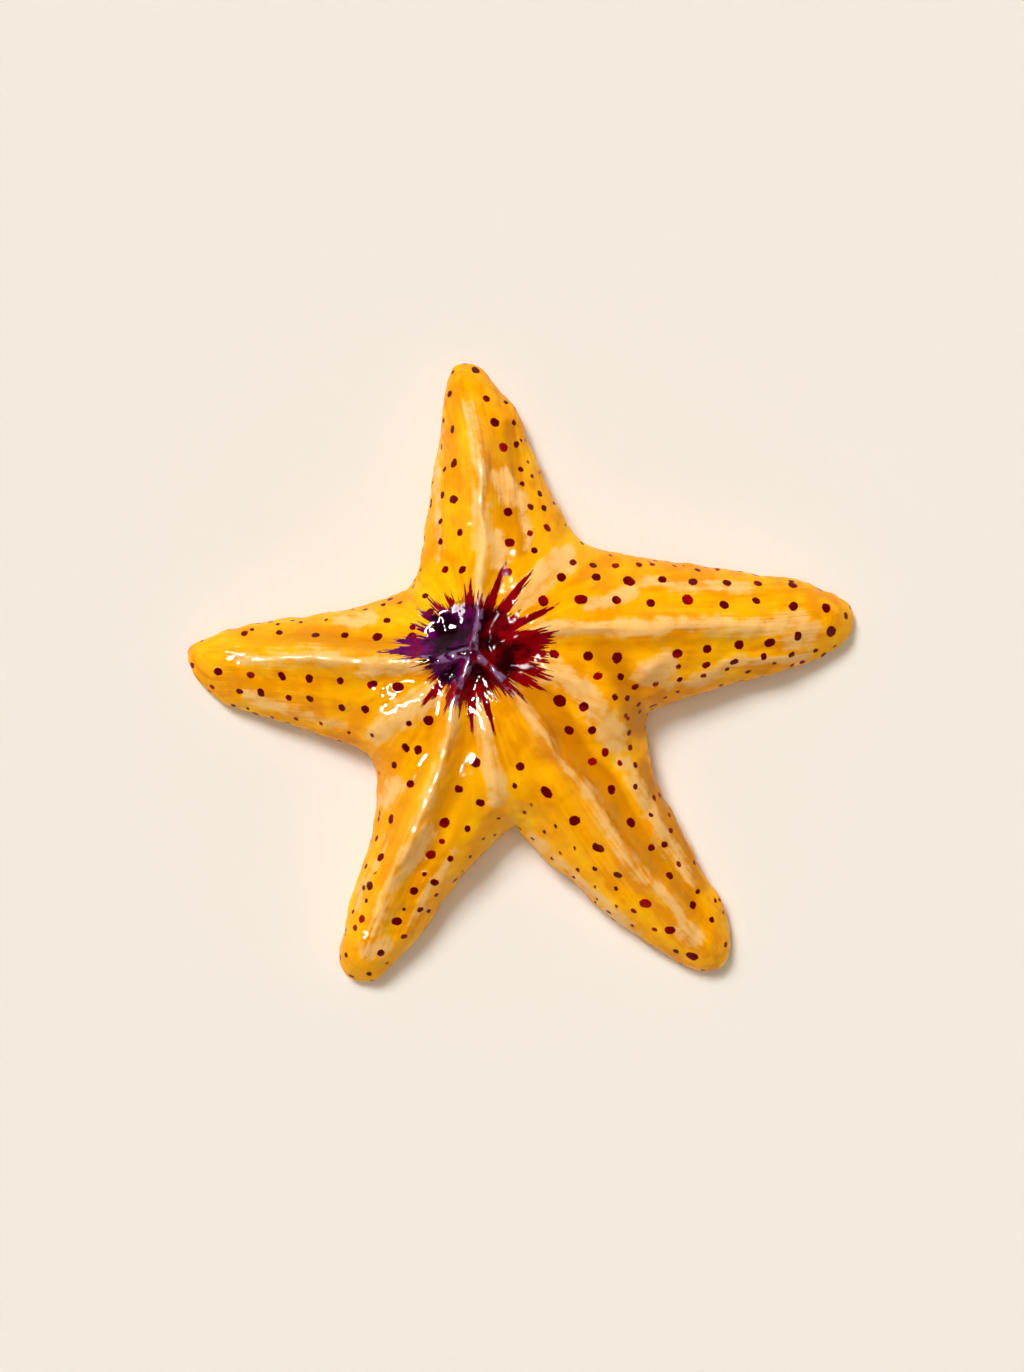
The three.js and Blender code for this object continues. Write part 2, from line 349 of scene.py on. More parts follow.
def buildStarfish(star):
    # the grid's points and its quads, with the facts about each point that the paint needs
    ribs, grid, isBack = shapeStarfish(star)
    count, rows = grid.shape[:2]
    perSide = star["ribsPerSide"]
    rib = np.arange(count)
    within = rib % (2 * perSide)
    twin = np.where(within == 0, rib, rib - within + 2 * perSide - within)

    # lumps push the skin out along its normal, fading towards the flat underside
    normals = gridNormals(grid, twin)
    points = grid.reshape(-1, 3)
    push = sum(height * lumps(points, length, star["seed"] + index)
               for index, (length, height) in enumerate(star["lumps"])).reshape(count, rows)
    raised = np.clip(grid[..., 2] / star["lumpsFrom"], 0, 1)
    push *= np.where(isBack > 0, 1, raised)
    grid = grid + normals * push[..., None]
    grid[..., 2] = np.maximum(grid[..., 2], 0)

    # ribs on both sides of an arm share their ridge points, and all arms share the centre
    own = rib[:, None] * rows + np.arange(rows)[None, :]
    shared = np.where(within == 0, 0, np.minimum(rib, twin))
    own[:, 0] = shared * rows
    own[:, -1] = shared * rows + rows - 1
    after = np.roll(own, -1, axis=0)
    corners = [own[:, :-1], own[:, 1:], after[:, 1:], after[:, :-1]]
    used, renumbered = np.unique(np.stack(corners, axis=-1), return_inverse=True)

    def pick(values):
        # a value of the grid for each point that a quad uses
        return values.reshape(count * rows, -1)[used].squeeze()

    def pickRib(values):
        # a value of the ribs for each of those points
        return pick(np.repeat(values[:, None], rows, axis=1))

    facts = {
        "isBack": pick(isBack), "arm": pickRib(ribs["arm"]),
        "discShare": pickRib(ribs["discShare"]),
        "side": pickRib(np.where(within < perSide, -1.0, 1.0)),
    }
    return pick(grid), renumbered.reshape(-1, 4), facts


points, quads, facts = buildStarfish(starfish)
print("starfish skin worked out:", len(points), "points,", 2 * len(quads), "triangles")
cadLow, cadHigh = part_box("starfish")
plan = points[:, :2].copy()
middle = (plan.min(0) + plan.max(0)) / 2
home = np.array([(cadLow.x + cadHigh.x) / 2, (cadLow.y + cadHigh.y) / 2]) / mm - middle

mesh = bpy.data.meshes.new("starfishSkin")
placed = points + np.array([home[0], home[1], 0])
mesh.from_pydata((placed * mm).tolist(), [], quads.tolist())
mesh.validate()
mesh.update()
starfishPiece = bpy.data.objects.new("starfishSkin", mesh)
bpy.context.scene.collection.objects.link(starfishPiece)
mesh.polygons.foreach_set("use_smooth", np.ones(len(mesh.polygons), bool))


def addAttribute(mesh, name, values):
    # one number for each point, which the paint reads by its name
    layer = mesh.attributes.new(name, "FLOAT", "POINT")
    layer.data.foreach_set("value", np.asarray(values, np.float32).ravel())


# Dots of paint in rows, each row from one place to another in plan, bowed sideways at its middle.
# Size is the dots' width at the row's two ends. Jitter and smear are the shake of their places and
# of their shapes
dots = {
    "jitter": 0.45,
    "smear": 0.5,
    "seed": 5,
    # small ones all along the flank: about how far apart, how wide, and how high up, as a multiple
    # of the rim's height
    "rimStep": 6.5,
    "rimSize": (1.0, 1.6),
    "rimRise": (0.45, 1.7),
    "rows": [
        # right arm
        {"from": (19, 13), "to": (95, 12), "count": 9, "size": (2.7, 2.4)},
        {"from": (24, 19), "to": (86, 17.5), "count": 8, "size": (2.7, 2.3)},
        {"from": (27, 23), "to": (66, 22), "count": 8, "size": (2.2, 1.6)},
        {"from": (47, 24), "to": (94, 16), "count": 6, "size": (1.1, 1.4), "bow": 1},
        {"from": (22, -1.5), "to": (38, -2), "count": 3, "size": (3.0, 2.8)},
        {"from": (54, -1), "to": (96, 5), "count": 6, "size": (2.4, 2.6)},
        {"from": (33, -7), "to": (39, -7), "count": 2, "size": (2.1, 1.9)},
        {"from": (55, -5), "to": (93, 0), "count": 6, "size": (1.8, 1.6)},
        {"from": (43, -10), "to": (80, -4), "count": 7, "size": (1.7, 1.2)},
        {"from": (41, -18), "to": (55, -11.5), "count": 5, "size": (1.7, 1.3)},
        {"from": (37, -12), "to": (49, -15), "count": 4, "size": (1.8, 1.3)},
        # top arm
        {"from": (10, 20), "to": (9, 36), "count": 3, "size": (2.6, 2.9)},
        {"from": (8, 53), "to": (1, 75), "count": 4, "size": (2.7, 2.2)},
        {"from": (16, 25), "to": (9, 67), "count": 8, "size": (1.8, 1.5), "bow": -1},
        {"from": (20, 33), "to": (14, 55), "count": 6, "size": (2.0, 0.9)},
        {"from": (-3, 21), "to": (-6, 68), "count": 6, "size": (2.2, 2.0)},
        {"from": (-8, 21), "to": (-8, 61), "count": 7, "size": (2.0, 1.6)},
        {"from": (-14, 22), "to": (-11, 45), "count": 6, "size": (1.2, 1.0)},
        {"from": (-11, 10), "to": (-16, 17), "count": 3, "size": (2.0, 1.2)},
        # left arm
        {"from": (-16, 3.5), "to": (-70, 4), "count": 7, "size": (2.4, 1.8)},
        {"from": (-16, 7), "to": (-22, 7), "count": 2, "size": (1.8, 2.1)},
        {"from": (-39, 8.5), "to": (-59, 6), "count": 4, "size": (1.3, 1.3)},
        {"from": (-19, 12), "to": (-39, 10.5), "count": 5, "size": (1.5, 1.1)},
        {"from": (-18, -10), "to": (-68, -6), "count": 7, "size": (2.3, 2.1)},
        {"from": (-28, -16), "to": (-70, -10), "count": 7, "size": (2.2, 1.6)},
        {"from": (-33, -22), "to": (-61, -15.5), "count": 5, "size": (1.2, 1.1)},
        # low left arm
        {"from": (-11, -19), "to": (-16, -35), "count": 3, "size": (2.7, 2.2)},
        {"from": (-16, -20), "to": (-20, -31), "count": 3, "size": (2.0, 2.3)},
        {"from": (-21, -46), "to": (-30, -72), "count": 4, "size": (2.4, 2.2)},
        {"from": (-27, -24), "to": (-25, -45), "count": 4, "size": (1.3, 1.5), "bow": -1.5},
        {"from": (-25, -51), "to": (-35, -77), "count": 5, "size": (1.6, 1.1)},
        {"from": (-25.5, -59), "to": (-34, -82), "count": 4, "size": (1.0, 1.6)},
        {"from": (1, -29), "to": (-24, -81), "count": 7, "size": (2.6, 2.3)},
        {"from": (3, -40), "to": (-18, -77), "count": 6, "size": (1.9, 1.7)},
        {"from": (7, -45), "to": (-12, -71), "count": 6, "size": (1.1, 1.2)},
        {"from": (8, -50), "to": (-3, -59), "count": 3, "size": (1.0, 1.2)},
        {"from": (-8, -51), "to": (-18, -69), "count": 3, "size": (1.6, 1.3)},
        # low right arm
        {"from": (13, -31), "to": (59, -82), "count": 8, "size": (2.4, 2.7)},
        {"from": (11, -36), "to": (54, -81), "count": 9, "size": (1.4, 1.5)},
        {"from": (14, -44), "to": (48, -79), "count": 8, "size": (1.3, 1.2)},
        {"from": (16, -51), "to": (33, -67), "count": 4, "size": (1.1, 1.0)},
        {"from": (22, -14), "to": (29, -15), "count": 2, "size": (3.1, 2.3)},
        {"from": (26, -22), "to": (58, -68), "count": 7, "size": (2.5, 2.1)},
        {"from": (32, -22), "to": (35, -28), "count": 2, "size": (2.3, 2.0)},
        {"from": (39, -30), "to": (68, -79), "count": 8, "size": (1.6, 1.6)},
        {"from": (41, -18), "to": (43, -31), "count": 4, "size": (1.5, 1.5)},
        {"from": (48, -39), "to": (65, -68), "count": 4, "size": (1.7, 1.1)},
        # single ones at the tips
        {"from": (101, 9), "to": (97.5, 1.5), "count": 2, "size": (1.8, 1.0)},
        {"from": (-5, 75), "to": (-76, -3), "count": 2, "size": (1.6, 1.6)},
        {"from": (-28, -87.5), "to": (-23, -84.5), "count": 2, "size": (1.7, 1.0)},
    ],
}


def dotPlaces(rows, jitter, dice):
    # along each row at even steps, plus bow times the sine of the way along, plus a small shake
    places, sizes = [], []
    for row in rows:
        start, end = np.array(row["from"], float), np.array(row["to"], float)
        step = np.linspace(0, 1, row["count"])[:, None]
        way = (end - start) / np.linalg.norm(end - start)
        place = start + (end - start) * step
        place = place + row.get("bow", 0) * np.sin(math.pi * step) * np.array([-way[1], way[0]])
        places.append(place + dice.normal(0, jitter, place.shape))
        sizes.append(row["size"][0] + (row["size"][1] - row["size"][0]) * step[:, 0])
    sizes = np.concatenate(sizes)
    return np.concatenate(places), sizes * dice.uniform(0.85, 1.12, len(sizes))


def rimDotPlaces(ribs, dots, dice):
    # ribs at even lengths along the outline, each shaken by about a quarter of a step and raised
    # by chance
    passed = np.cumsum(np.hypot(*(ribs["edge"] - np.roll(ribs["edge"], 1, axis=0)).T))
    wanted = np.arange(0, passed[-1], dots["rimStep"])
    wanted = wanted + dice.normal(0, dots["rimStep"] / 4, len(wanted))
    chosen = np.searchsorted(passed, wanted % passed[-1])
    rise = ribs["rim"][chosen] * dice.uniform(*dots["rimRise"], len(chosen))
    return np.column_stack([ribs["edge"][chosen], rise]), dice.uniform(*dots["rimSize"], len(chosen))


def dotEdgeDistance(points, onBack, dots, ribs):
    # least over all dots of the distance to a short stroke through the dot, less half its width
    dice = np.random.default_rng(dots["seed"])
    places, sizes = dotPlaces(dots["rows"], dots["jitter"], dice)
    backPoints = points[onBack]
    centres = [backPoints[np.argmin(((backPoints[:, :2] - place) ** 2).sum(1))] for place in places]
    rimPlaces, rimSizes = rimDotPlaces(ribs, dots, dice)
    centres += [points[np.argmin(((points - place) ** 2).sum(1))] for place in rimPlaces]
    result = np.full(len(points), farAway)
    for centre, size in zip(centres, np.concatenate([sizes, rimSizes])):
        smear = dice.normal(0, dots["smear"], 3) * size / 3
        offset = points - centre
        share = np.clip(offset @ smear / (smear @ smear), 0, 1)
        away = np.linalg.norm(offset - share[:, None] * smear, axis=1)
        result = np.minimum(result, away - size / 2)
    return result


dotEdge = dotEdgeDistance(points, facts["isBack"] > 0, dots, layRibs(starfish))
addAttribute(mesh, "dotEdge", dotEdge)
print("dots placed")

# Cream paint: bands on the ridges and folds, and loose patches, all as lines with a width
cream = {
    # half width of the band along each arm's ridge, arms in their order, and the share of the
    # ridge where the band starts and ends
    "ridgeBands": [2.1, 1.5, 1.3, 1.4, 1.4],
    "ridgeSpan": (0.12, 0.93),
    # the other bands, each with its half width
    "bands": [
        {"path": [(2, -14), (4.5, -27), (6, -39)], "width": 2.0},
        {"path": [(-9, -11), (-16, -16), (-25, -22)], "width": 3.2},
        {"path": [(18, -4), (26, -9), (33, -16), (39, -25)], "width": 3.2},
        {"path": [(13, 13), (19, 18), (25, 24)], "width": 3.0},
        {"path": [(-14, -4.5), (-29, -5)], "width": 2.0},
        {"path": [(46, -7), (51, -4)], "width": 3.4},
        {"path": [(7, 45), (11.5, 41)], "width": 2.9},
        {"path": [(5, 29), (7, 22)], "width": 2.2},
        {"path": [(12.5, 40), (13.5, 27)], "width": 1.0},
        {"path": [(-27, 9), (-34, 7)], "width": 1.9},
        {"path": [(-21, -36), (-23, -40)], "width": 2.6},
        {"path": [(-13, -48), (-16, -56)], "width": 2.4},
        {"path": [(-24, -79), (-28, -80)], "width": 2.6},
        {"path": [(41, -31), (48, -44), (58, -62)], "width": 1.6},
        {"path": [(52, -10), (70, -5), (90, -1)], "width": 1.3},
        {"path": [(45, 18), (58, 17), (74, 16)], "width": 1.5},
        {"path": [(30, 12), (42, 15)], "width": 1.4},
        {"path": [(-9, 24), (-10, 44), (-9, 60)], "width": 0.8},
        {"path": [(-24, -50), (-30, -68)], "width": 0.2},
        {"path": [(-5, -54), (-10, -62), (-17, -74)], "width": 0.8},
        {"path": [(17, -50), (30, -64), (44, -76)], "width": 1.3},
        {"path": [(-60, -12), (-46, -17), (-32, -20)], "width": 1.3},
        {"path": [(56, -74), (60, -77)], "width": 2.4},
        {"path": [(84, 3), (90, 5)], "width": 2.8},
    ],
}


def creamEdgeDistance(plan, cream, star):
    # least over all bands of the distance to the band's line, less its half width
    result = np.full(len(plan), farAway)
    for arm, width in zip(star["arms"], cream["ridgeBands"]):
        distance, _, _ = nearestOnPath(plan, ridgeLine(arm, *cream["ridgeSpan"], 40))
        result = np.minimum(result, distance - width)
    for band in cream["bands"]:
        distance, _, _ = nearestOnPath(plan, band["path"])
        result = np.minimum(result, distance - band["width"])
    return result


straying = strayed(plan, starfish)
creamEdge = creamEdgeDistance(straying, cream, starfish)
addAttribute(mesh, "creamEdge", np.where(facts["isBack"] > 0, creamEdge, farAway))

# Where painted shade lies, where the painted lilac sheen shows, where paint stops, and how strokes
# run
layers = {
    # the share of a ridge that shows the painted lilac sheen in the burst, and half the width of that
    # line
    "crestSpan": 0.3,
    "crestWidth": 0.6,
    # the painted shade in the dips beside the ridges: how far from the ridge, and how wide
    "shadeAway": 5.0,
    "shadeWidth": 3.2,
    # pits deeper than this get painted shade inside
    "shadedPitDepth": -1.5,
    # how high above the floor the paint stops, and how far within the paint the back counts
    "bareHeight": 0.9,
    "backDepth": 3.0,
    # brush strokes: an arm's length along them, and how far apart the arms lie in their noise
    "armLength": 85,
    "armApart": 31.0,
}


def crestEdgeDistance(plan, arms):
    # least distance to the parts of the ridges that show the painted lilac sheen in the burst, less
    # half a width
    result = np.full(len(plan), farAway)
    for arm in arms:
        distance, _, _ = nearestOnPath(plan, ridgeLine(arm, 0, layers["crestSpan"], 30))
        result = np.minimum(result, distance - layers["crestWidth"])
    return result


def dipShadeShare(plan, star):
    # painted shade: bells of the dips beside the ridges, times their depth, plus bells of the creases
    total = np.zeros(len(plan))
    for arm in star["arms"]:
        distance, share, side = nearestOnPath(plan, ridgeLine(arm, 0, 1, 60))
        away = bell(distance - layers["shadeAway"], layers["shadeWidth"])
        total += np.where(side > 0, *arm["dip"]) * away * endFade(share, 0.7)
    for fold in star["folds"]:
        if fold["height"] < 0:
            distance, _, _ = nearestOnPath(plan, fold["path"])
            total += bell(distance, 2 * fold["width"])
    return total


def pitShare(plan, knobs):
    # where painted shade goes in the pits: sum of the deep pits' bells, 1 in the middle of each,
    # falling to 0 outside it
    return sum(bell(np.hypot(*(plan - np.array(knob["at"])).T), knob["width"])
               for knob in knobs if knob["height"] < layers["shadedPitDepth"])


def strokePlaces(plan, facts, star):
    # how far out along its arm a point is, how far across, and a number that each arm has alone
    places = np.zeros((len(plan), 3))
    for index, arm in enumerate(star["arms"]):
        mine = facts["arm"] == index
        distance, share, _ = nearestOnPath(plan[mine], ridgeLine(arm, 0, 1, 60))
        places[mine] = np.stack([share * layers["armLength"], facts["side"][mine] * distance,
                                 np.full(mine.sum(), layers["armApart"] * index)], axis=1)
    return places


# painted shade in the pits
addAttribute(mesh, "pit", pitShare(straying, starfish["knobs"]))
# painted sheen: pale lilac along the ridge tops in the burst
addAttribute(mesh, "crestEdge", crestEdgeDistance(straying, starfish["arms"][1:]))
# painted shade in the dips beside the ridges and in the creases
addAttribute(mesh, "paintedDipShade", dipShadeShare(straying, starfish) * facts["isBack"])
bareEdge = points[:, 2] - layers["bareHeight"]
addAttribute(mesh, "bareEdge", np.where(facts["isBack"] > 0, layers["backDepth"], bareEdge))
addAttribute(mesh, "discShare", facts["discShare"])
armPlace = mesh.attributes.new("armPlace", "FLOAT_VECTOR", "POINT")
strokes = strokePlaces(plan, facts, starfish).astype(np.float32)
armPlace.data.foreach_set("vector", strokes.ravel())
print("paint laid out")


# Shader helpers: each adds one node and gives back its output
def addNode(tree, kind, **settings):
    node = tree.nodes.new(kind)
    for key, value in settings.items():
        setattr(node, key, value)
    return node


def feed(tree, socket, value):
    if isinstance(value, bpy.types.NodeSocket):
        tree.links.new(value, socket)
    else:
        socket.default_value = value


def maths(tree, operation, *values):
    node = addNode(tree, "ShaderNodeMath", operation=operation)
    for socket, value in zip(node.inputs, values):
        feed(tree, socket, value)
    return node.outputs[0]


def added(tree, first, *others):
    # all the values added up
    for value in others:
        first = maths(tree, "ADD", first, value)
    return first


def scaled(tree, value, share):
    return maths(tree, "MULTIPLY", value, share)


def vectorMaths(tree, operation, *values):
    node = addNode(tree, "ShaderNodeVectorMath", operation=operation)
    for socket, value in zip(node.inputs, values):
        feed(tree, socket, value)
    return node


def readAttribute(tree, name, output="Fac"):
    return addNode(tree, "ShaderNodeAttribute", attribute_name=name).outputs[output]


def noise(tree, place, scale, detail=2.0, roughness=0.5):
    node = addNode(tree, "ShaderNodeTexNoise")
    feed(tree, node.inputs["Vector"], place)
    node.inputs["Scale"].default_value = scale
    node.inputs["Detail"].default_value = detail
    node.inputs["Roughness"].default_value = roughness
    return node.outputs["Fac"]


def ramp(tree, value, low, high):
    # smooth step from 0 at low to 1 at high
    node = addNode(tree, "ShaderNodeMapRange", interpolation_type="SMOOTHSTEP")
    feed(tree, node.inputs["Value"], value)
    node.inputs["From Min"].default_value = low
    node.inputs["From Max"].default_value = high
    return node.outputs["Result"]


def blend(tree, factor, under, over):
    # sockets 6 and 7 and output 2 are the Mix node's colours
    node = addNode(tree, "ShaderNodeMix", data_type="RGBA")
    feed(tree, node.inputs["Factor"], factor)
    feed(tree, node.inputs[6], under)
    feed(tree, node.inputs[7], over)
    return node.outputs[2]


def colour(text):
    # a colour as written on a paint card, turned into the linear values a shader takes
    parts = [int(text[i:i + 2], 16) / 255 for i in (1, 3, 5)]
    return tuple(c / 12.92 if c <= 0.04045 else ((c + 0.055) / 1.055) ** 2.4 for c in parts) + (1,)


# The painted skin. Lengths are in mm
paint = {
    "bright": "#FFC00A",
    "yellow": "#FDAE04",
    "orange": "#EE9602",
    # ochre is the painted shade in the dips and creases
    "ochre": "#C87804",
    "cream": "#F6C47A",
    "creamDark": "#EFAF54",
    "dotRed": "#600104",
    "dotLight": "#960406",
    "purple": "#5C0452",
    "plum": "#220216",
    "crimson": "#86020C",
    "wine": "#3A0104",
    # painted shade inside the pits
    "pitShade": "#140106",
    # painted sheen on the ridge tops in the burst
    "lilacSheen": "#8A6692",
    "bare": "#C9A06A",
    "bareDark": "#9A7040",
    "centre": (home[0], home[1], 0.0),
    # how much a coat hides what is under it, from 0 to 1
    "cover": {"ochre": 0.75, "cream": 0.85, "pitShade": 0.8, "lilacSheen": 0.75},
    # scale of each noise: a larger number is finer
    "grain": {"cloud": 0.06, "blotch": 0.24, "wobble": 1.1, "dotTone": 0.12, "patch": 0.5,
              "lump": 0.5, "grit": 0.75},
    # how far each kind of mark stands up
    "relief": {"bristles": 0.10, "dots": 0.05, "cream": 0.08, "burst": 0.06, "grit": -0.5,
               "lump": 0.24, "lumpOnDisc": 0.25},
    "roughness": 0.42,
    # burst: how far its marks fray, how far out it is solid, and how its colour turns with place
    "fray": 17.0,
    "frayBlotch": 4.0,
    "extraReach": 0.3,
    "solid": (12.0, 11.0),
    "hueSlant": -0.3,
    "hueBlotch": 9.0,
    "redOutside": 15.0,
    # angle round the centre, in degrees, and how far the burst reaches there
    "curveTop": 30.0,
    "burst": [
        (-180, 20), (-177.8, 23), (-174, 17), (-168, 15), (-156, 12.5), (-146, 12), (-137, 12),
        (-131, 20), (-126, 12), (-120, 11.5), (-114, 16.5), (-109, 14), (-101, 17), (-97, 12.5),
        (-90, 21.5), (-84, 13), (-79, 13), (-74.6, 23), (-70, 13), (-60, 13), (-52, 14.5),
        (-44, 18), (-38, 14), (-30, 20), (-25, 17), (-20, 21), (-14, 18), (-6, 20), (1, 18.5),
        (10, 22), (14, 20), (19, 15), (23.5, 14), (26.9, 26), (31, 15), (40, 14), (46, 15),
        (52.9, 26.5), (57, 14), (63, 14), (68.6, 25), (74, 13), (81, 12.5), (87, 14.5),
        (93.4, 17), (99, 12.5), (107, 13), (113, 14.5), (121, 12), (130, 17), (136, 12),
        (143.5, 18.5), (149, 12), (157.8, 17), (163, 11.5), (169, 15), (174.5, 21), (177, 16),
        (180, 21),
    ],
}

# The varnish over the paint
varnish = {
    "weight": 0.5,
    "roughness": 0.03,
    "ior": 1.32,
    # height of its ripples: where it lies thin, how much more where thick, fine ones, over marks
    "still": 0.03,
    "rippled": 0.22,
    "fine": 0.015,
    "overMarks": 0.02,
    # scale of the noises: thick patches, ripples and fine ripples
    "patchScale": 0.05,
    "rippleScale": 0.36,
    "fineScale": 0.75,
    # how much it loses where it is dry
    "dry": 0.8,
}


def tint(name):
    return colour(paint[name])


def streakParts(tree, fromCentre, discShare):
    # broad strokes and fine bristle marks, along the arms and out from the centre on the disc
    parts = addNode(tree, "ShaderNodeSeparateXYZ")
    feed(tree, parts.inputs[0], fromCentre)
    sideways, upward = parts.outputs[0], parts.outputs[1]
    flat = addNode(tree, "ShaderNodeCombineXYZ")
    feed(tree, flat.inputs[0], sideways)
    feed(tree, flat.inputs[1], upward)
    radius = vectorMaths(tree, "LENGTH", flat.outputs[0]).outputs["Value"]
    heading = vectorMaths(tree, "NORMALIZE", flat.outputs[0]).outputs[0]
    lift = addNode(tree, "ShaderNodeCombineXYZ")
    feed(tree, lift.inputs[2], radius)
    armPlace = readAttribute(tree, "armPlace", "Vector")

    def streak(alongScale, acrossScale, turnScale, radiusScale, detail):
        stretched = vectorMaths(tree, "MULTIPLY", armPlace, (alongScale, acrossScale, 1.0)).outputs[0]
        onArm = noise(tree, stretched, 1.0, detail, 0.55)
        fan = vectorMaths(tree, "SCALE", heading)
        fan.inputs["Scale"].default_value = turnScale
        out = vectorMaths(tree, "MULTIPLY", lift.outputs[0], (0, 0, radiusScale)).outputs[0]
        place = vectorMaths(tree, "ADD", fan.outputs[0], out).outputs[0]
        onDisc = noise(tree, place, 1.0, detail, 0.55)
        both = addNode(tree, "ShaderNodeMix", data_type="FLOAT")
        feed(tree, both.inputs[0], discShare)
        feed(tree, both.inputs[2], onArm)
        feed(tree, both.inputs[3], onDisc)
        return both.outputs[0], onDisc

    strokes, _ = streak(0.045, 0.20, 3.2, 0.05, 2.0)
    bristles, _ = streak(0.06, 1.1, 16.0, 0.07, 3.0)
    _, sprays = streak(0.06, 1.1, 34.0, 0.10, 3.0)
    return sideways, upward, radius, strokes, bristles, sprays


def burstReach(tree, sideways, upward):
    # how far the burst reaches at this angle round the centre, read off a curve of straight pieces
    angle = maths(tree, "ARCTAN2", upward, sideways)
    turn = maths(tree, "MULTIPLY_ADD", angle, 0.5 / math.pi, 0.5)
    curve = addNode(tree, "ShaderNodeFloatCurve")
    line = curve.mapping.curves[0]
    top = paint["curveTop"]
    stops = [((degrees + 180) / 360, reach / top) for degrees, reach in paint["burst"]]
    line.points[0].location = stops[0]
    line.points[1].location = stops[-1]
    for stop in stops[1:-1]:
        line.points.new(*stop)
    for point in line.points:
        point.handle_type = "VECTOR"
    curve.mapping.update()
    feed(tree, curve.inputs["Value"], turn)
    return scaled(tree, curve.outputs[0], top)


def centred(tree, value, strength):
    # a noise from 0 to 1 turned into one from minus half the strength to plus half of it
    return maths(tree, "MULTIPLY_ADD", value, strength, -0.5 * strength)


def markings(tree):
    # what the layers of paint read: the place, where it lies round the centre, and the noises
    scale, grain = vectorMaths(tree, "SCALE"), paint["grain"]
    feed(tree, scale.inputs[0], addNode(tree, "ShaderNodeTexCoord").outputs["Object"])
    scale.inputs["Scale"].default_value = 1 / mm
    place = scale.outputs[0]
    fromCentre = vectorMaths(tree, "SUBTRACT", place, paint["centre"]).outputs[0]
    discShare = readAttribute(tree, "discShare")
    sideways, upward, radius, strokes, bristles, sprays = streakParts(tree, fromCentre, discShare)
    return {
        "place": place, "sideways": sideways, "upward": upward, "radius": radius,
        "strokes": strokes, "bristles": bristles, "sprays": sprays,
        "cloud": noise(tree, place, grain["cloud"], 3.0, 0.6),
        "blotch": noise(tree, place, grain["blotch"], 3.0, 0.6),
        "wobble": noise(tree, place, grain["wobble"], 2.0, 0.6),
    }


def groundPaint(tree, marks):
    # yellow to orange by a mix of the noises, with ochre painted shade in the dips beside the ridges
    # and in the creases
    tone = added(tree, centred(tree, marks["strokes"], 0.75), centred(tree, marks["cloud"], 0.5),
                 centred(tree, marks["bristles"], 0.36), centred(tree, marks["blotch"], 0.18))
    mixed = blend(tree, ramp(tree, tone, -0.14, 0.02), tint("orange"), tint("yellow"))
    mixed = blend(tree, ramp(tree, tone, 0.02, 0.17), mixed, tint("bright"))
    # painted shade: ochre laid over the ground in the dips and creases
    paintedDipShade = added(tree, readAttribute(tree, "paintedDipShade"), centred(tree, marks["strokes"], 0.9))
    dipShadeCover = scaled(tree, ramp(tree, paintedDipShade, 0.15, 0.95), paint["cover"]["ochre"])
    return blend(tree, dipShadeCover, mixed, tint("ochre"))


def creamPaint(tree, marks, under):
    # cream on the ridges, folds and patches, dragged out in streaks
    drag = added(tree, centred(tree, marks["strokes"], 3.6), centred(tree, marks["bristles"], 4.0),
                 centred(tree, marks["blotch"], 5.0))
    inside = maths(tree, "SUBTRACT", drag, readAttribute(tree, "creamEdge"))
    mask = scaled(tree, ramp(tree, inside, -0.9, 1.2), paint["cover"]["cream"])
    tone = added(tree, centred(tree, marks["bristles"], 1.0), centred(tree, marks["blotch"], 1.0))
    mixed = blend(tree, ramp(tree, tone, -0.25, 0.1), tint("creamDark"), tint("cream"))
    return blend(tree, mask, under, mixed), mask


def dotPaint(tree, marks, under):
    # red dots with a slightly uneven rim, lighter in places
    edge = added(tree, readAttribute(tree, "dotEdge"), centred(tree, marks["wobble"], 0.5))
    mask = ramp(tree, edge, 0.07, -0.07)
    tone = noise(tree, marks["place"], paint["grain"]["dotTone"], 1.0)
    mixed = blend(tree, ramp(tree, tone, 0.52, 0.68), tint("dotRed"), tint("dotLight"))
    return blend(tree, mask, under, mixed), mask


def burstColour(tree, marks):
    # purple on one side and crimson on the other, darker in random patches, painted shade in the
    # pits, and a painted lilac sheen on the ridge tops
    blotch, radius = marks["blotch"], marks["radius"]
    hue = maths(tree, "MULTIPLY_ADD", marks["upward"], paint["hueSlant"], marks["sideways"])
    outside = scaled(tree, ramp(tree, radius, 9.0, 15.0), paint["redOutside"])
    hue = added(tree, hue, centred(tree, blotch, paint["hueBlotch"]), outside)
    redder = ramp(tree, hue, -3.0, 3.5)
    light = blend(tree, redder, tint("purple"), tint("crimson"))
    dark = blend(tree, redder, tint("plum"), tint("wine"))
    pit = readAttribute(tree, "pit")
    depth = added(tree, blotch, centred(tree, marks["sprays"], 0.25))
    # painted shade: darker in the pits
    depth = maths(tree, "SUBTRACT", depth, scaled(tree, pit, 0.35))
    depth = added(tree, depth, scaled(tree, ramp(tree, radius, 9.5, 15.0), 0.14))
    mixed = blend(tree, ramp(tree, depth, 0.38, 0.66), dark, light)
    # painted shade: near-black inside the deep pits
    pitShade = ramp(tree, added(tree, pit, centred(tree, blotch, 0.6)), 0.45, 1.0)
    mixed = blend(tree, scaled(tree, pitShade, paint["cover"]["pitShade"]), mixed, tint("pitShade"))
    # painted sheen: pale lilac along the ridge tops, in patches
    crest = added(tree, readAttribute(tree, "crestEdge"), centred(tree, blotch, 3.2))
    patchy = ramp(tree, noise(tree, marks["place"], paint["grain"]["patch"], 1.0), 0.40, 0.58)
    lilacSheen = scaled(tree, scaled(tree, ramp(tree, crest, 0.75, 0.1), patchy), paint["cover"]["lilacSheen"])
    return blend(tree, lilacSheen, mixed, tint("lilacSheen"))


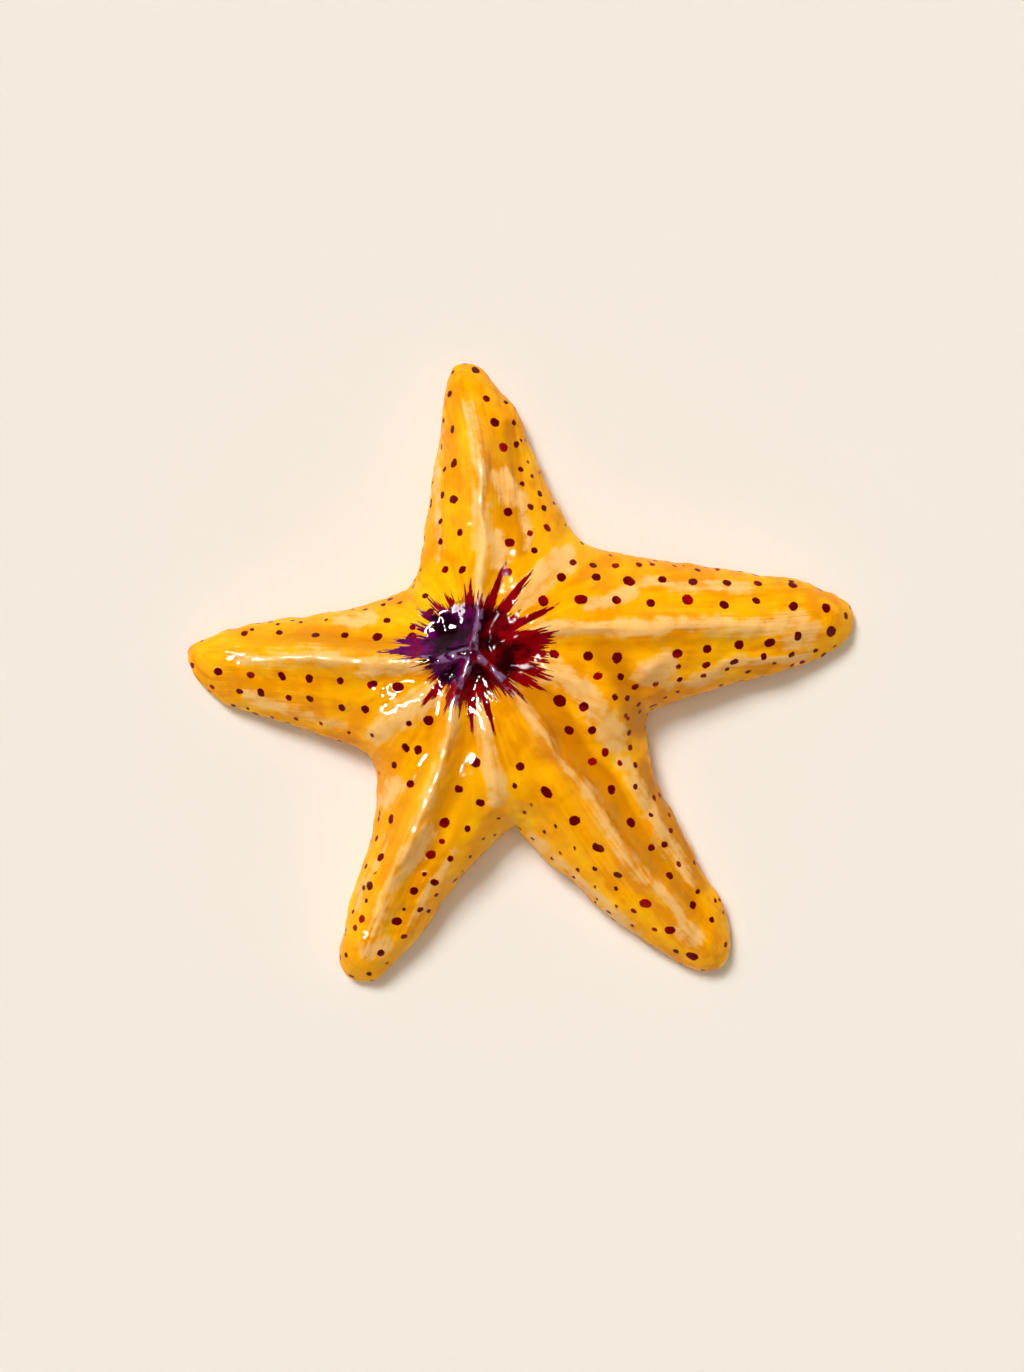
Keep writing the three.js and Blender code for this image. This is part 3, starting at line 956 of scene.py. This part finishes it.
def burstPaint(tree, marks, under):
    # the burst at the centre, its rim frayed by bristle marks
    reach = burstReach(tree, marks["sideways"], marks["upward"])
    fray = added(tree, centred(tree, marks["sprays"], paint["fray"]),
                 centred(tree, marks["blotch"], paint["frayBlotch"]))
    reach = added(tree, reach, paint["extraReach"], fray)
    inside = maths(tree, "SUBTRACT", reach, marks["radius"])
    solid = ramp(tree, marks["radius"], *paint["solid"])
    mask = maths(tree, "MAXIMUM", ramp(tree, inside, -0.3, 0.3), solid)
    return blend(tree, mask, under, burstColour(tree, marks)), mask


def bareSkin(tree, marks, over):
    # bare dried skin wherever the side or underside is low: a thin line along the foot of the rim,
    # and the flat part below
    edge = added(tree, readAttribute(tree, "bareEdge"), centred(tree, marks["blotch"], 1.2))
    mask = ramp(tree, edge, 0.25, -0.25)
    mixed = blend(tree, ramp(tree, marks["wobble"], 0.42, 0.6), tint("bareDark"), tint("bare"))
    return blend(tree, mask, over, mixed), mask


def addBump(tree, height, socket):
    bump = addNode(tree, "ShaderNodeBump")
    bump.inputs["Strength"].default_value = 1.0
    bump.inputs["Distance"].default_value = mm
    tree.links.new(height, bump.inputs["Height"])
    tree.links.new(bump.outputs[0], socket)


def paintRelief(tree, marks, masks):
    # soft lumps, larger on the disc, plus brush ridges and thick marks, and grain on the bare skin
    relief, place = paint["relief"], marks["place"]
    grit = addNode(tree, "ShaderNodeTexVoronoi", feature="SMOOTH_F1")
    feed(tree, grit.inputs["Vector"], place)
    grit.inputs["Scale"].default_value = paint["grain"]["grit"]
    grain = scaled(tree, scaled(tree, grit.outputs["Distance"], relief["grit"]), masks["bare"])
    onDisc = ramp(tree, marks["radius"], 26.0, 8.0)
    lumpy = maths(tree, "MULTIPLY_ADD", onDisc, relief["lumpOnDisc"], relief["lump"])
    lump = scaled(tree, noise(tree, place, paint["grain"]["lump"], 2.0, 0.5), lumpy)
    return added(tree, lump, scaled(tree, marks["bristles"], relief["bristles"]),
                 *[scaled(tree, masks[name], relief[name]) for name in ("dots", "cream", "burst")],
                 grain)


def varnishRipples(tree, marks, masks):
    # the varnish lies in small ripples of its own, thicker in patches and round the burst
    place = marks["place"]
    patches = ramp(tree, noise(tree, place, varnish["patchScale"], 1.0), 0.46, 0.58)
    thick = maths(tree, "MAXIMUM", patches, ramp(tree, marks["radius"], 26.0, 16.0))
    tall = maths(tree, "MULTIPLY_ADD", thick, varnish["rippled"], varnish["still"])
    ripples = scaled(tree, noise(tree, place, varnish["rippleScale"], 0.0), tall)
    fine = noise(tree, place, varnish["fineScale"], 0.0)
    ripples = maths(tree, "MULTIPLY_ADD", fine, varnish["fine"], ripples)
    raised = added(tree, masks["dots"], masks["burst"])
    return maths(tree, "MULTIPLY_ADD", raised, varnish["overMarks"], ripples)


def varnishWeight(tree, marks, masks):
    # none on the bare skin, and little to the upper right of the centre, where it lies dull
    slant = added(tree, marks["sideways"], marks["upward"])
    upperRight = ramp(tree, maths(tree, "MULTIPLY_ADD", marks["blotch"], 12.0, slant), 6.0, 14.0)
    dry = scaled(tree, upperRight, ramp(tree, marks["radius"], 34.0, 24.0))
    dry = scaled(tree, dry, varnish["dry"])
    wet = scaled(tree, maths(tree, "SUBTRACT", 1.0, dry), maths(tree, "SUBTRACT", 1.0, masks["bare"]))
    return scaled(tree, wet, varnish["weight"])


def paintedSkin():
    # layer over layer: ground, cream, dots, burst, then bare skin where the paint stops
    material = bpy.data.materials.new("paintedSkin")
    material.use_nodes = True
    tree = material.node_tree
    shader = tree.nodes["Principled BSDF"]
    marks, masks = markings(tree), {}
    skin = groundPaint(tree, marks)
    skin, masks["cream"] = creamPaint(tree, marks, skin)
    skin, masks["dots"] = dotPaint(tree, marks, skin)
    skin, masks["burst"] = burstPaint(tree, marks, skin)
    skin, masks["bare"] = bareSkin(tree, marks, skin)
    tree.links.new(skin, shader.inputs["Base Color"])
    addBump(tree, paintRelief(tree, marks, masks), shader.inputs["Normal"])
    addBump(tree, varnishRipples(tree, marks, masks), shader.inputs["Coat Normal"])
    tree.links.new(varnishWeight(tree, marks, masks), shader.inputs["Coat Weight"])
    shader.inputs["Roughness"].default_value = paint["roughness"]
    shader.inputs["Specular IOR Level"].default_value = 0.0
    shader.inputs["Coat Roughness"].default_value = varnish["roughness"]
    shader.inputs["Coat IOR"].default_value = varnish["ior"]
    return material


mesh.materials.append(paintedSkin())
print("paint mixed")

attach(starfishPiece, "root")
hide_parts("starfish")

# Floor, light and camera
stage = {
    "floorColour": "#ECE8E2",
    "floorRoughness": 0.9,
    "floorSize": 30.0,
    # two soft suns: where each stands, how strong it is and how many degrees wide
    "suns": [
        {"at": (-1.0, 1.5, 2.35), "strength": 2.66, "width": 22.0, "tint": (1.0, 0.98, 0.975)},
        {"at": (0.1, -0.1, 2.4), "strength": 0.90, "width": 70.0, "tint": (1.0, 0.89, 0.70)},
    ],
    # narrow lamps that show only as shines on the varnish
    "glints": [
        {"at": (-0.22, -0.03, 1.0), "power": 12.0, "size": (0.03, 0.20)},
        {"at": (-0.22, 0.52, 1.0), "power": 75.0, "size": (0.12, 0.34)},
        {"at": (-1.10, 0.05, 1.0), "power": 250.0, "size": (1.00, 0.24)},
    ],
    "glintTint": (1.0, 0.98, 0.95),
    # the sky's two colours, and between which heights of the ray one turns into the other
    "horizon": (0.80, 0.745, 0.66, 1),
    "zenith": (0.015, 0.015, 0.015, 1),
    "skyTurn": (0.1, 0.6),
    "skyStrength": 1.0,
    "cameraHeight": 0.6235,
    "lens": 60.0,
    "sensor": 36,
    "lookAt": (-0.0024, -0.0036),
}


def makeFloor():
    size = stage["floorSize"]
    corners = [(-size, -size, 0), (size, -size, 0), (size, size, 0), (-size, size, 0)]
    floorMesh = bpy.data.meshes.new("floor")
    floorMesh.from_pydata(corners, [], [(0, 1, 2, 3)])
    floor = bpy.data.objects.new("floor", floorMesh)
    bpy.context.scene.collection.objects.link(floor)
    material = bpy.data.materials.new("paleFloor")
    material.use_nodes = True
    shader = material.node_tree.nodes["Principled BSDF"]
    shader.inputs["Base Color"].default_value = colour(stage["floorColour"])
    shader.inputs["Roughness"].default_value = stage["floorRoughness"]
    shader.inputs["Specular IOR Level"].default_value = 0.0
    floorMesh.materials.append(material)


def makeSun(sun):
    # soft light from far away, which lights the whole floor evenly and shows in no reflection
    data = bpy.data.lights.new("sun", "SUN")
    data.energy = sun["strength"]
    data.angle = math.radians(sun["width"])
    data.color = sun["tint"]
    lamp = bpy.data.objects.new("sun", data)
    lamp.location = sun["at"]
    lamp.rotation_euler = (-Vector(sun["at"])).to_track_quat("-Z", "Y").to_euler()
    lamp.visible_glossy = False
    bpy.context.scene.collection.objects.link(lamp)


def makeGlint(glint):
    # a narrow lamp that faces down and shows only as a shine
    data = bpy.data.lights.new("glint", "AREA")
    data.shape = "RECTANGLE"
    data.energy = glint["power"]
    data.size, data.size_y = glint["size"]
    data.color = stage["glintTint"]
    lamp = bpy.data.objects.new("glint", data)
    lamp.location = glint["at"]
    lamp.visible_diffuse = False
    bpy.context.scene.collection.objects.link(lamp)


def makeSky():
    # pale walls round a dim ceiling, mixed by how far up the ray points
    world = bpy.data.worlds.new("studio")
    world.use_nodes = True
    tree = world.node_tree
    background = tree.nodes["Background"]
    background.inputs["Strength"].default_value = stage["skyStrength"]
    heading = addNode(tree, "ShaderNodeSeparateXYZ")
    feed(tree, heading.inputs[0], addNode(tree, "ShaderNodeTexCoord").outputs["Generated"])
    upward = ramp(tree, heading.outputs[2], *stage["skyTurn"])
    feed(tree, background.inputs["Color"], blend(tree, upward, stage["horizon"], stage["zenith"]))
    bpy.context.scene.world = world


def makeCamera():
    # straight above the starfish, looking down
    data = bpy.data.cameras.new("camera")
    data.lens = stage["lens"]
    data.sensor_width = stage["sensor"]
    camera = bpy.data.objects.new("camera", data)
    camera.location = (*stage["lookAt"], stage["cameraHeight"])
    bpy.context.scene.collection.objects.link(camera)
    bpy.context.scene.camera = camera


makeFloor()
for sun in stage["suns"]:
    makeSun(sun)
for glint in stage["glints"]:
    makeGlint(glint)
makeSky()
makeCamera()
bpy.context.scene.view_settings.view_transform = "Standard"
print("stage set")
